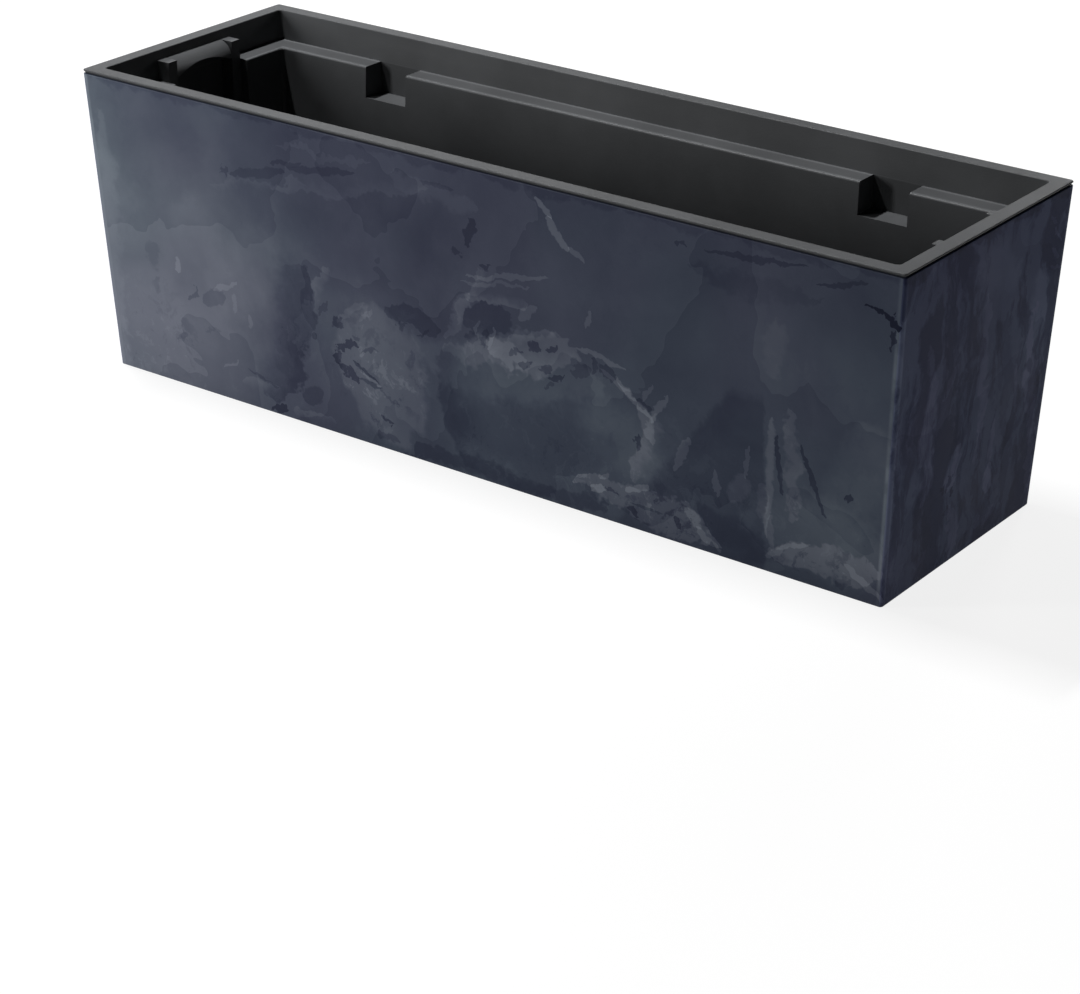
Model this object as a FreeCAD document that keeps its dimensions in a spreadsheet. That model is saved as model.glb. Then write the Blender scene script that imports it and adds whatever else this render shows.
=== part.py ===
import FreeCAD, Part
import math
import os
import Sketcher
from FreeCAD import Vector

# A long planter: a marbled outer case, a plain liner that hangs in it by its rim,
# and a plug in the case's floor. X runs along the planter, Y from front to back, Z up,
# with the origin on the ground under the middle. All sizes are in millimetres.

os.makedirs("parts", exist_ok=True)
doc = FreeCAD.newDocument("planter")

SIZES = [
    ("top_length", 580, "length over the rim"),
    ("top_width", 180, "width over the rim"),
    ("overall_height", 195, "ground to the top of the rim"),
    ("side_inset", 8.5, "how far each side is drawn in at the ground"),
    ("case_corner", 2, "outer radius of the case's upright corners"),
    ("case_inner_corner", 1, "inner radius of the case's upright corners"),
    ("case_wall", 2.6, "thickness of the case's sides"),
    ("case_floor", 3, "thickness of the case's floor"),
    ("base_recess", 4.5, "height of the floor's underside above the ground"),
    ("case_edge", 0.5, "rounding of the case's outer top and bottom edges"),
    ("foot_length", 62, "length of a foot bar under the floor"),
    ("foot_width", 10.5, "width of a foot bar"),
    ("foot_end_gap", 52, "from the end of the base to a foot bar"),
    ("foot_side_gap", 16, "from the side of the base to a foot bar"),
    ("hole_gap", 26, "from the middle of a foot bar to the line of the holes"),
    ("hole_spacing", 31, "between the overflow hole and the plug"),
    ("hole_lead", 14, "from the near end of the foot bar to the overflow hole"),
    ("overflow_bore", 7, "radius of the overflow hole"),
    ("overflow_wall", 2, "wall of the overflow pipe"),
    ("overflow_height", 16, "top of the overflow pipe above the case's floor"),
    ("rim_width", 9.6, "width of the liner's flat rim"),
    ("rim_thickness", 2.5, "thickness of the rim"),
    ("rim_edge", 0.6, "rounding of the rim's top edges"),
    ("rim_groove", 1.6, "bevel under the rim's outer edge, which leaves the parting line"),
    ("seat_gap", 0.6, "between the ridge under the rim and the case's wall"),
    ("seat_wall", 1.6, "thickness of the ridge that centres the liner in the case"),
    ("seat_height", 5, "how far the ridge reaches down into the case"),
    ("liner_wall", 2, "thickness of the liner"),
    ("liner_corner", 2.5, "radius of the liner's inner upright corners"),
    ("liner_draft", 6, "how far each lower liner wall is drawn in at its floor"),
    ("reserve_height", 27, "water space between the two floors"),
    ("ledge_drop", 18.7, "from the top of the rim to the ledge"),
    ("opening_draft", 1.5, "how far each wall above the ledge is drawn in at the ledge"),
    ("ledge_width", 15.1, "width of the ledge along the sides"),
    ("end_ledge_width", 14.3, "width of the ledge at the ends"),
    ("ledge_edge", 1.2, "rounding of the ledge's front edge"),
    ("pocket_length", 32.5, "length of a pocket in the ledge"),
    ("pocket_place", 182, "half the distance between the middles of the two back pockets"),
    ("pocket_shift", 4, "how far the back pockets stand to the right, and the front ones to the left"),
    ("pocket_drop", 20, "from the ledge to a pocket's floor"),
    ("grip_length", 65, "length of an end grip with its posts"),
    ("grip_offset", -3, "from the middle of the left end to the middle of its grip"),
    ("grip_depth", 10.5, "how far a grip stands out of the end wall"),
    ("grip_drop", 6, "from the top of the rim to the top of a grip"),
    ("grip_post", 7.5, "width of a grip's post"),
    ("grip_middle", 5.5, "height of a grip's bar over the crown of its arched lower edge"),
    ("grip_wall", 2.6, "thickness of the grip's rounded bar"),
    ("finger_drop", 36, "from the ledge to the floor of the finger recess"),
    ("drain_radius", 3, "radius of a drain hole in the liner's floor"),
    ("drain_pitch", 58, "between drain holes along the liner"),
    ("drain_row_gap", 58, "between the two rows of drain holes"),
    ("drain_count", 8, "drain holes in a row"),
    ("plug_stem", 7, "radius of the plug's stem"),
    ("plug_clearance", 0.05, "gap between the stem and its hole, all round"),
    ("plug_bore", 5, "radius of the hollow in the stem"),
    ("plug_height", 18.5, "height of the stem above the flange"),
    ("plug_lip", 0.8, "rounding of the stem's top edges"),
    ("flange_thickness", 3, "thickness of the plug's flange"),
    ("flange_radius", 15, "radius of the middle of the flange"),
    ("flange_reach", 17, "from the stem's axis to a tip of the flange"),
    ("flange_tip", 5, "radius of a tip of the flange"),
    ("flange_edge", 0.5, "rounding of the flange's lower edge"),
    ("well_radius", 9.4, "outer radius of the groove round the stem"),
    ("groove_depth", 0.9, "depth of the grooves in the flange"),
    ("coin_radius", 6.7, "radius of the disc in the flange's underside"),
    ("coin_groove", 1.5, "width of a groove in the flange's underside"),
    ("coin_ring", 1.4, "width of the raised ring between the two grooves"),
    ("coin_bridge", 2.4, "width of the bridges across the inner groove"),
    ("overrun", 1, "how far a cut runs past the face that it opens"),
]

sheet = doc.addObject("Spreadsheet::Sheet", "Sizes")
for row, (alias, value, meaning) in enumerate(SIZES, start=1):
    sheet.set(f"A{row}", alias)
    sheet.set(f"B{row}", str(value))
    sheet.set(f"C{row}", meaning)
    sheet.setAlias(f"B{row}", alias)
doc.recompute()


def size(alias):
    """A size from the sheet as a number."""
    return float(getattr(sheet, alias))


def of(alias):
    """A size from the sheet as a term of an expression."""
    return f"Sizes.{alias}"


# Heights above the ground that several pieces share.
RIM_TOP = of("overall_height")
CASE_TOP = f"({RIM_TOP} - {of('rim_thickness')})"
CASE_FLOOR_TOP = f"({of('base_recess')} + {of('case_floor')})"
LEDGE = f"({RIM_TOP} - {of('ledge_drop')})"
LEDGE_UNDERSIDE = f"({LEDGE} - {of('liner_wall')})"
LINER_UNDERSIDE = f"({CASE_FLOOR_TOP} + {of('reserve_height')})"
LINER_FLOOR_TOP = f"({LINER_UNDERSIDE} + {of('liner_wall')})"
GRIP_TOP = f"({RIM_TOP} - {of('grip_drop')})"

# The opening inside the rim, and the narrower space below the ledge.
OPENING_LENGTH = f"({of('top_length')} - 2 * {of('rim_width')})"
OPENING_WIDTH = f"({of('top_width')} - 2 * {of('rim_width')})"
WELL_LENGTH = f"({OPENING_LENGTH} - 2 * {of('opening_draft')} - 2 * {of('end_ledge_width')})"
WELL_WIDTH = f"({OPENING_WIDTH} - 2 * {of('opening_draft')} - 2 * {of('ledge_width')})"


def case_drawn_in(height):
    """How much narrower the case is at a height than at its top, both sides together."""
    return f"(2 * {of('side_inset')} * (1 - {height} / {CASE_TOP}))"


def liner_drawn_in(height):
    """How much narrower the liner's lower walls are at a height than at the ledge."""
    return f"(2 * {of('liner_draft')} * ({LEDGE} - {height}) / ({LEDGE} - {LINER_UNDERSIDE}))"


def opening_drawn_in(height):
    """How much narrower the opening is at a height than at the top of the rim."""
    return f"(2 * {of('opening_draft')} * ({RIM_TOP} - {height}) / {of('ledge_drop')})"


def new_body(name):
    """A body for one piece, labelled with the name of its file."""
    body = doc.addObject("PartDesign::Body", name)
    body.Label = name
    return body


def origin_plane(body, role):
    """One of the three planes of a body's own origin."""
    return next(plane for plane in body.Origin.OriginFeatures if plane.Role == role)


def place(feature, body, role, x="0", y="0", z="0"):
    """Attach a sketch or a primitive to an origin plane, with its offset bound to the sheet."""
    feature.AttachmentSupport = [(origin_plane(body, role), "")]
    feature.MapMode = "FlatFace"
    feature.setExpression(".AttachmentOffset.Base.x", x)
    feature.setExpression(".AttachmentOffset.Base.y", y)
    feature.setExpression(".AttachmentOffset.Base.z", z)


def named(sketch, name, constraint, expression):
    """Add a constraint and bind its value to the sheet."""
    index = sketch.addConstraint(constraint)
    sketch.renameConstraint(index, name)
    sketch.setExpression(f"Constraints.{name}", expression)


def rounded_rectangle(body, name, height, length, width, radius):
    """A sketch of a rectangle with round corners, centred on the Z axis at a height."""
    sketch = body.newObject("Sketcher::SketchObject", name)
    place(sketch, body, "XY_Plane", z=height)
    a, b = size("top_length") / 2, size("top_width") / 2
    r = size("case_corner")
    corners = [(a, -b, -90), (a, b, 0), (-a, b, 90), (-a, -b, 180)]
    for x, y, start in corners:
        centre = Vector(x - math.copysign(r, x), y - math.copysign(r, y), 0)
        circle = Part.Circle(centre, Vector(0, 0, 1), r)
        arc = Part.ArcOfCircle(circle, math.radians(start), math.radians(start + 90))
        sketch.addGeometry(arc, False)
    for index in range(4):
        first = sketch.Geometry[index].EndPoint
        second = sketch.Geometry[(index + 1) % 4].StartPoint
        sketch.addGeometry(Part.LineSegment(first, second), False)
    # Arcs are 0 to 3, and the side that follows arc n is line n + 4.
    for index in range(4):
        following = (index + 1) % 4
        sketch.addConstraint(Sketcher.Constraint("Tangent", index, 2, index + 4, 1))
        sketch.addConstraint(Sketcher.Constraint("Tangent", index + 4, 2, following, 1))
    for index in (1, 2, 3):
        sketch.addConstraint(Sketcher.Constraint("Equal", 0, index))
    for index, direction in ((4, "Vertical"), (5, "Horizontal"), (6, "Vertical"), (7, "Horizontal")):
        sketch.addConstraint(Sketcher.Constraint(direction, index))
    sketch.addConstraint(Sketcher.Constraint("Symmetric", 0, 3, 2, 3, -1, 1))
    named(sketch, "Radius", Sketcher.Constraint("Radius", 0, r), radius)
    named(sketch, "Length", Sketcher.Constraint("DistanceX", 6, 1, 4, 1, 2 * a), length)
    named(sketch, "Width", Sketcher.Constraint("DistanceY", 7, 1, 5, 1, 2 * b), width)
    return sketch


def loft(body, kind, name, lower, upper):
    """A loft, added or taken away, between two sketches."""
    feature = body.newObject(f"PartDesign::{kind}Loft", name)
    feature.Profile = lower
    feature.Sections = [upper]
    feature.Ruled = True
    return feature


def pad(body, name, sketch, length):
    feature = body.newObject("PartDesign::Pad", name)
    feature.Profile = sketch
    feature.setExpression("Length", length)
    return feature


def pocket(body, name, sketch, depth, upwards):
    """A cut from a sketch, up or down; the volume that it takes away is printed."""
    doc.recompute()
    before = body.Shape.Volume
    feature = body.newObject("PartDesign::Pocket", name)
    feature.Profile = sketch
    feature.Reversed = upwards
    feature.setExpression("Length", depth)
    doc.recompute()
    taken = before - body.Shape.Volume
    print(f"{name} takes away {taken:.0f} cubic mm")
    if taken <= 0:
        raise ValueError(f"{name} cuts nothing")
    return feature


def box(body, kind, name, x, y, z):
    """A box between two places on each axis, given as pairs of expressions."""
    feature = body.newObject(f"PartDesign::{kind}Box", name)
    place(feature, body, "XY_Plane", x[0], y[0], z[0])
    feature.setExpression("Length", f"{x[1]} - {x[0]}")
    feature.setExpression("Width", f"{y[1]} - {y[0]}")
    feature.setExpression("Height", f"{z[1]} - {z[0]}")
    return feature


def cylinder(body, kind, name, at, z, radius):
    """An upright cylinder at a place, between two heights."""
    feature = body.newObject(f"PartDesign::{kind}Cylinder", name)
    place(feature, body, "XY_Plane", at[0], at[1], z[0])
    feature.setExpression("Radius", radius)
    feature.setExpression("Height", f"{z[1]} - {z[0]}")
    return feature


def turned_about(body, name, originals):
    """The features repeated once, half a turn away about the planter's upright axis."""
    feature = body.newObject("PartDesign::PolarPattern", name)
    feature.Originals = originals
    feature.Axis = (origin_plane(body, "Z_Axis"), [""])
    feature.Angle = 360
    feature.Occurrences = 2
    body.Tip = feature
    return feature


def turned(span):
    """A pair of places after half a turn about the planter's upright axis."""
    return (f"(0 - {span[1]})", f"(0 - {span[0]})")


def middle(edge):
    """The point halfway along an edge."""
    return edge.valueAt((edge.FirstParameter + edge.LastParameter) / 2)


def dress(body, kind, name, test, amount):
    """Round or bevel every edge of the body whose halfway point and ends pass a test."""
    doc.recompute()
    names = []
    for index, edge in enumerate(body.Shape.Edges, start=1):
        points = [vertex.Point for vertex in edge.Vertexes] + [middle(edge)]
        if all(test(point) for point in points):
            names.append(f"Edge{index}")
    print(f"{name} takes {len(names)} edges")
    if not names:
        raise ValueError(f"{name} finds no edge")
    solid = body.Tip
    feature = body.newObject(f"PartDesign::{kind}", name)
    feature.Base = (solid, names)
    feature.setExpression("Radius" if kind == "Fillet" else "Size", amount)
    return feature


def number(expression):
    """The value of an expression on the sheet's sizes."""
    return float(sheet.evalExpression(expression))


SMALL_SHARE = 0.001


def near(value, target):
    """Whether a coordinate lies on a target, to a small share of the planter's height."""
    return abs(value - target) < SMALL_SHARE * size("overall_height")


# The outer case: a drafted trough with a recessed floor, foot bars and two holes.

def foot_places():
    """The four foot bars: where each starts and ends along X and Y."""
    end = f"({of('top_length')} / 2 - {of('side_inset')} - {of('foot_end_gap')})"
    side = f"({of('top_width')} / 2 - {of('side_inset')} - {of('foot_side_gap')})"
    left = (f"(0 - {end})", f"({of('foot_length')} - {end})")
    right = (f"({end} - {of('foot_length')})", end)
    front = (f"(0 - {side})", f"({of('foot_width')} - {side})")
    back = (f"({side} - {of('foot_width')})", side)
    return [(right, front), (right, back), (left, front), (left, back)]


# The overflow hole and the plug lie in line beside the foot bar at the front right.
FOOT_ALONG, FOOT_ACROSS = foot_places()[0]
HOLE_LINE = f"(({FOOT_ACROSS[0]} + {FOOT_ACROSS[1]}) / 2 + {of('hole_gap')})"
OVERFLOW_PLACE = f"({FOOT_ALONG[0]} + {of('hole_lead')})"
PLUG_PLACE = f"({OVERFLOW_PLACE} + {of('hole_spacing')})"


def make_outer_case():
    body = new_body("outer_case")
    above = f"({CASE_TOP} + {of('overrun')})"
    corner = of("case_corner")
    inner_corner = of("case_inner_corner")

    def outer(name, height):
        drawn_in = case_drawn_in(height)
        length = f"{of('top_length')} - {drawn_in}"
        width = f"{of('top_width')} - {drawn_in}"
        return rounded_rectangle(body, name, height, length, width, corner)

    def inner(name, height):
        drawn_in = f"{case_drawn_in(height)} - 2 * {of('case_wall')}"
        length = f"{of('top_length')} - {drawn_in}"
        width = f"{of('top_width')} - {drawn_in}"
        return rounded_rectangle(body, name, height, length, width, inner_corner)

    foot, head = outer("case_foot", "0"), outer("case_head", CASE_TOP)
    loft(body, "Additive", "case_block", foot, head)
    foot, head = inner("hollow_foot", CASE_FLOOR_TOP), inner("hollow_head", above)
    loft(body, "Subtractive", "case_hollow", foot, head)
    pocket(body, "case_underside", inner("underside_outline", "0"), of("base_recess"), True)
    for index, (along, across) in enumerate(foot_places(), start=1):
        box(body, "Additive", f"foot_{index}", along, across, ("0", of("base_recess")))
    pipe_top = f"({CASE_FLOOR_TOP} + {of('overflow_height')})"
    pipe_radius = f"{of('overflow_bore')} + {of('overflow_wall')}"
    pipe = (of("base_recess"), pipe_top)
    through = (f"({of('base_recess')} - {of('overrun')})", f"({pipe_top} + {of('overrun')})")
    overflow, plug = (OVERFLOW_PLACE, HOLE_LINE), (PLUG_PLACE, HOLE_LINE)
    plug_hole = f"{of('plug_stem')} + {of('plug_clearance')}"
    cylinder(body, "Additive", "overflow_pipe", overflow, pipe, pipe_radius)
    cylinder(body, "Subtractive", "overflow_hole", overflow, through, of("overflow_bore"))
    cylinder(body, "Subtractive", "plug_hole", plug, through, plug_hole)
    half_length, half_width = size("top_length") / 2, size("top_width") / 2
    top, inset, wall = number(CASE_TOP), size("side_inset"), size("case_wall")

    def on_outside(point):
        drawn_in = inset * (1 - point.z / top)
        reach = max(abs(point.x) - half_length + drawn_in, abs(point.y) - half_width + drawn_in)
        return reach > -wall / 2

    def on_outer_edge(point):
        return on_outside(point) and (near(point.z, 0) or near(point.z, top))

    dress(body, "Fillet", "case_rounding", on_outer_edge, of("case_edge"))
    return body


# The liner: a flat rim, a ledge with four pockets, two end grips and a drained floor.

def make_liner():
    body = new_body("liner")
    over_ledge = f"({LEDGE} + {of('overrun')})"
    wall = of("liner_wall")

    def shell(name, height, length, width, outside):
        grown = f"2 * {wall}" if outside else "0"
        radius = f"{of('liner_corner')} + {wall}" if outside else of("liner_corner")
        return rounded_rectangle(body, name, height, f"{length} + {grown}", f"{width} + {grown}", radius)

    def opening(name, height, outside):
        drawn_in = opening_drawn_in(height)
        length, width = f"{OPENING_LENGTH} - {drawn_in}", f"{OPENING_WIDTH} - {drawn_in}"
        return shell(name, height, length, width, outside)

    def well(name, height, outside):
        drawn_in = liner_drawn_in(height)
        return shell(name, height, f"{WELL_LENGTH} - {drawn_in}", f"{WELL_WIDTH} - {drawn_in}", outside)

    length, width = of("top_length"), of("top_width")
    outline = rounded_rectangle(body, "rim_outline", CASE_TOP, length, width, of("case_corner"))
    pad(body, "rim", outline, of("rim_thickness"))
    seat_ridge(body)
    foot, head = opening("collar_foot", LEDGE_UNDERSIDE, True), opening("collar_head", CASE_TOP, True)
    loft(body, "Additive", "collar", foot, head)
    foot, head = well("well_foot", LINER_UNDERSIDE, True), well("well_head", LEDGE_UNDERSIDE, True)
    loft(body, "Additive", "well", foot, head)

    # Housings of the pockets and of the finger recesses, outside the lower walls.
    side = f"({OPENING_WIDTH} / 2 - {of('opening_draft')})"
    end = f"({OPENING_LENGTH} / 2 - {of('opening_draft')})"
    recess = (f"({of('grip_offset')} - {of('grip_length')} / 2)",
              f"({of('grip_offset')} + {of('grip_length')} / 2)")
    pockets = [pocket_span(-1), pocket_span(1)]
    pocket_floor = f"({LEDGE} - {of('pocket_drop')})"
    finger_floor = f"({LEDGE} - {of('finger_drop')})"
    across, heights = ("0", f"({side} + {wall})"), (f"({pocket_floor} - {wall})", LEDGE_UNDERSIDE)
    for index, (left, right) in enumerate(pockets, start=1):
        along = (f"({left} - {wall})", f"({right} + {wall})")
        box(body, "Additive", f"back_pocket_housing_{index}", along, across, heights)
        box(body, "Additive", f"front_pocket_housing_{index}", turned(along), turned(across), heights)
    along, across = (f"(0 - {end} - {wall})", "0"), (f"({recess[0]} - {wall})", f"({recess[1]} + {wall})")
    heights = (f"({finger_floor} - {wall})", LEDGE_UNDERSIDE)
    box(body, "Additive", "left_finger_housing", along, across, heights)
    box(body, "Additive", "right_finger_housing", turned(along), turned(across), heights)

    # The hollow above the ledge, the hollow below it, the pockets and the finger recesses.
    foot, head = opening("opening_foot", LEDGE, False), opening("opening_head", RIM_TOP, False)
    loft(body, "Subtractive", "opening", foot, head)
    foot, head = well("hollow_foot", LINER_FLOOR_TOP, False), well("hollow_head", over_ledge, False)
    loft(body, "Subtractive", "well_hollow", foot, head)
    across, heights = ("0", side), (pocket_floor, over_ledge)
    for index, along in enumerate(pockets, start=1):
        box(body, "Subtractive", f"back_pocket_{index}", along, across, heights)
        box(body, "Subtractive", f"front_pocket_{index}", turned(along), turned(across), heights)
    along, heights = (f"(0 - {end})", "0"), (finger_floor, over_ledge)
    box(body, "Subtractive", "left_finger_recess", along, recess, heights)
    box(body, "Subtractive", "right_finger_recess", turned(along), turned(recess), heights)

    grips(body, recess, finger_floor)
    drain_holes(body)
    round_liner_edges(body)
    return body


def pocket_span(side):
    """Where the back pocket on one side of the middle starts and ends along X."""
    place_along = f"{side} * {of('pocket_place')} + {of('pocket_shift')}"
    return (f"({place_along} - {of('pocket_length')} / 2)", f"({place_along} + {of('pocket_length')} / 2)")


def seat_ridge(body):
    """The ridge under the rim that keeps the liner in the middle of the case."""
    low = f"({CASE_TOP} - {of('seat_height')})"
    outer_side = f"2 * ({of('case_wall')} + {of('seat_gap')})"
    inner_side = f"2 * ({of('case_wall')} + {of('seat_gap')} + {of('seat_wall')})"

    def outline(name, taken):
        length, width = f"{of('top_length')} - {taken}", f"{of('top_width')} - {taken}"
        return rounded_rectangle(body, name, low, length, width, of("case_inner_corner"))

    pad(body, "ridge_block", outline("ridge_outline", outer_side), of("seat_height"))
    pocket(body, "ridge_hollow", outline("ridge_inside", inner_side), of("seat_height"), True)


def grips(body, recess, finger_floor):
    """The left grip, two posts and the rounded bar that fingers hook under, and its twin."""
    end, wall = f"({OPENING_LENGTH} / 2)", of("liner_wall")
    fingers = (f"({recess[0]} + {of('grip_post')})", f"({recess[1]} - {of('grip_post')})")
    along = (f"(0 - {end})", f"({of('grip_depth')} - {end})")
    heights = (f"({finger_floor} - {wall} / 2)", GRIP_TOP)
    posts = [box(body, "Additive", "front_post", along, (recess[0], fingers[0]), heights),
             box(body, "Additive", "back_post", along, (fingers[1], recess[1]), heights)]
    profile = bar_profile(body, f"0 - {end}", f"{GRIP_TOP} - {of('grip_depth')}", f"0 - {fingers[0]}")
    bar = pad(body, "bar", profile, f"{fingers[1]} - {fingers[0]}")
    bar.Reversed = True
    profile = arch_profile(body, f"{of('opening_draft')} - {end}")
    arch = pocket(body, "bar_arch", profile, of("grip_depth"), True)
    turned_about(body, "right_grip", posts + [bar, arch])


def bar_profile(body, wall_face, centre_height, start):
    """A quarter ring whose middle lies on the end wall, below the bar's top."""
    sketch = body.newObject("Sketcher::SketchObject", "bar_profile")
    place(sketch, body, "XZ_Plane", wall_face, centre_height, start)
    outer, inner = size("grip_depth"), size("grip_depth") - size("grip_wall")
    for radius in (outer, inner):
        circle = Part.Circle(Vector(0, 0, 0), Vector(0, 0, 1), radius)
        sketch.addGeometry(Part.ArcOfCircle(circle, 0, math.radians(90)), False)
    # Line 2 joins the arcs' lower ends along the bottom, line 3 their upper ends on the wall.
    for line, end, direction, axis in ((2, 1, "Horizontal", -1), (3, 2, "Vertical", -2)):
        sketch.addGeometry(Part.LineSegment(sketch.getPoint(0, end), sketch.getPoint(1, end)), False)
        sketch.addConstraint(Sketcher.Constraint("Coincident", 0, end, line, 1))
        sketch.addConstraint(Sketcher.Constraint("Coincident", 1, end, line, 2))
        sketch.addConstraint(Sketcher.Constraint("PointOnObject", 0, end, axis))
        sketch.addConstraint(Sketcher.Constraint(direction, line))
    for arc in (0, 1):
        sketch.addConstraint(Sketcher.Constraint("Coincident", arc, 3, -1, 1))
    thinner = f"{of('grip_depth')} - {of('grip_wall')}"
    named(sketch, "Outer", Sketcher.Constraint("Radius", 0, outer), of("grip_depth"))
    named(sketch, "Inner", Sketcher.Constraint("Radius", 1, inner), thinner)
    return sketch


def arch_profile(body, start):
    """The arch between the posts, whose ends lie a little below the bar."""
    sketch = body.newObject("Sketcher::SketchObject", "arch_profile")
    low = f"{GRIP_TOP} - {of('grip_depth')} - {of('overrun')}"
    place(sketch, body, "YZ_Plane", of("grip_offset"), low, start)
    half = f"({of('grip_length')} / 2 - {of('grip_post')})"
    rise = f"({of('grip_depth')} + {of('overrun')} - {of('grip_middle')})"
    bend = f"({half} * {half} + {rise} * {rise}) / (2 * {rise})"
    radius = number(bend)
    centre = Vector(0, number(rise) - radius, 0)
    spread = math.asin(number(half) / radius)
    upright = math.radians(90)
    arc = Part.ArcOfCircle(Part.Circle(centre, Vector(0, 0, 1), radius), upright - spread, upright + spread)
    sketch.addGeometry(arc, False)
    sketch.addGeometry(Part.LineSegment(arc.EndPoint, arc.StartPoint), False)
    sketch.addConstraint(Sketcher.Constraint("Coincident", 0, 2, 1, 1))
    sketch.addConstraint(Sketcher.Constraint("Coincident", 1, 2, 0, 1))
    sketch.addConstraint(Sketcher.Constraint("PointOnObject", 0, 1, -1))
    sketch.addConstraint(Sketcher.Constraint("PointOnObject", 0, 2, -1))
    sketch.addConstraint(Sketcher.Constraint("PointOnObject", 0, 3, -2))
    named(sketch, "Bend", Sketcher.Constraint("Radius", 0, radius), bend)
    named(sketch, "Half", Sketcher.Constraint("DistanceX", -1, 1, 0, 1, number(half)), half)
    return sketch


def drain_holes(body):
    """Two rows of drain holes through the liner's floor."""
    sketch = body.newObject("Sketcher::SketchObject", "drain_outline")
    run = f"({of('drain_count')} - 1) * {of('drain_pitch')}"
    place(sketch, body, "XY_Plane", x=f"0 - {run} / 2", z=LINER_UNDERSIDE)
    radius, offset = size("drain_radius"), size("drain_row_gap") / 2
    for index, side in enumerate((-1, 1)):
        circle = Part.Circle(Vector(0, side * offset, 0), Vector(0, 0, 1), radius)
        sketch.addGeometry(circle, False)
        sketch.addConstraint(Sketcher.Constraint("PointOnObject", index, 3, -2))
        across = Sketcher.Constraint("DistanceY", -1, 1, index, 3, side * offset)
        named(sketch, f"Row{index}", across, f"{side} * {of('drain_row_gap')} / 2")
        named(sketch, f"Radius{index}", Sketcher.Constraint("Radius", index, radius), of("drain_radius"))
    hole = pocket(body, "drain_pair", sketch, of("liner_wall"), True)
    pattern = body.newObject("PartDesign::LinearPattern", "drain_rows")
    pattern.Originals = [hole]
    pattern.Direction = (origin_plane(body, "X_Axis"), [""])
    pattern.setExpression("Length", run)
    pattern.setExpression("Occurrences", of("drain_count"))
    body.Tip = pattern


def round_liner_edges(body):
    rim_top, rim_low, ledge = number(RIM_TOP), number(CASE_TOP), number(LEDGE)
    half_length, half_width = size("top_length") / 2, size("top_width") / 2
    well_length, well_width = number(WELL_LENGTH) / 2, number(WELL_WIDTH) / 2
    corner, wall = size("case_corner"), size("liner_wall")

    def on_ledge_front(point):
        inside = abs(point.x) < well_length + wall / 2 and abs(point.y) < well_width + wall / 2
        return near(point.z, ledge) and inside

    def on_rim_top(point):
        return near(point.z, rim_top)

    def under_rim(point):
        outermost = abs(point.x) > half_length - corner or abs(point.y) > half_width - corner
        return near(point.z, rim_low) and outermost

    dress(body, "Fillet", "ledge_rounding", on_ledge_front, of("ledge_edge"))
    dress(body, "Fillet", "rim_rounding", on_rim_top, of("rim_edge"))
    dress(body, "Chamfer", "rim_bevel", under_rim, of("rim_groove"))


# The plug: a hollow stem on a flange with two tips.

def make_overflow_plug():
    body = new_body("overflow_plug")
    at = (PLUG_PLACE, HOLE_LINE)
    flange_top = of("base_recess")
    flange_low = f"({flange_top} - {of('flange_thickness')})"
    stem_top = f"({flange_top} + {of('plug_height')})"
    above_flange = f"({flange_top} + {of('overrun')})"
    above_stem = f"({stem_top} + {of('overrun')})"
    groove_floor = f"({flange_top} - {of('groove_depth')})"
    pad(body, "flange", flange_outline(body, flange_low), of("flange_thickness"))
    low, top = number(flange_low), number(stem_top)
    dress(body, "Fillet", "flange_rounding", lambda point: near(point.z, low), of("flange_edge"))
    cylinder(body, "Subtractive", "stem_well", at, (groove_floor, above_flange), of("well_radius"))
    cylinder(body, "Additive", "stem", at, (groove_floor, stem_top), of("plug_stem"))
    cylinder(body, "Subtractive", "stem_hollow", at, (groove_floor, above_stem), of("plug_bore"))
    dress(body, "Fillet", "stem_lip", lambda point: near(point.z, top), of("plug_lip"))
    grooves(body, at, flange_low)
    return body


def flange_outline(body, height):
    """A round flange drawn out to two tips, its straight sides touching all its arcs."""
    sketch = body.newObject("Sketcher::SketchObject", "flange_outline")
    place(sketch, body, "XY_Plane", PLUG_PLACE, HOLE_LINE, height)
    radius, tip = size("flange_radius"), size("flange_tip")
    out = size("flange_reach") - tip
    lean = math.degrees(math.acos((radius - tip) / out))
    arcs = [(0, radius, lean, 180 - lean), (-out, tip, 180 - lean, 180 + lean),
            (0, radius, 180 + lean, 360 - lean), (out, tip, -lean, lean)]
    for x, arc_radius, start, stop in arcs:
        circle = Part.Circle(Vector(x, 0, 0), Vector(0, 0, 1), arc_radius)
        arc = Part.ArcOfCircle(circle, math.radians(start), math.radians(stop))
        sketch.addGeometry(arc, False)
    for index in range(4):
        ends = (sketch.getPoint(index, 2), sketch.getPoint((index + 1) % 4, 1))
        sketch.addGeometry(Part.LineSegment(*ends), False)
    for index in range(4):
        sketch.addConstraint(Sketcher.Constraint("Tangent", index, 2, index + 4, 1))
        sketch.addConstraint(Sketcher.Constraint("Tangent", index + 4, 2, (index + 1) % 4, 1))
    for arc in (0, 2):
        sketch.addConstraint(Sketcher.Constraint("Coincident", arc, 3, -1, 1))
    for arc in (1, 3):
        sketch.addConstraint(Sketcher.Constraint("PointOnObject", arc, 3, -1))
    sketch.addConstraint(Sketcher.Constraint("Equal", 1, 3))
    outwards = f"{of('flange_reach')} - {of('flange_tip')}"
    named(sketch, "Middle", Sketcher.Constraint("Radius", 0, radius), of("flange_radius"))
    named(sketch, "Tip", Sketcher.Constraint("Radius", 1, tip), of("flange_tip"))
    named(sketch, "Right", Sketcher.Constraint("DistanceX", -1, 1, 3, 3, out), outwards)
    named(sketch, "Left", Sketcher.Constraint("DistanceX", 1, 3, -1, 1, out), outwards)
    return sketch


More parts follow.
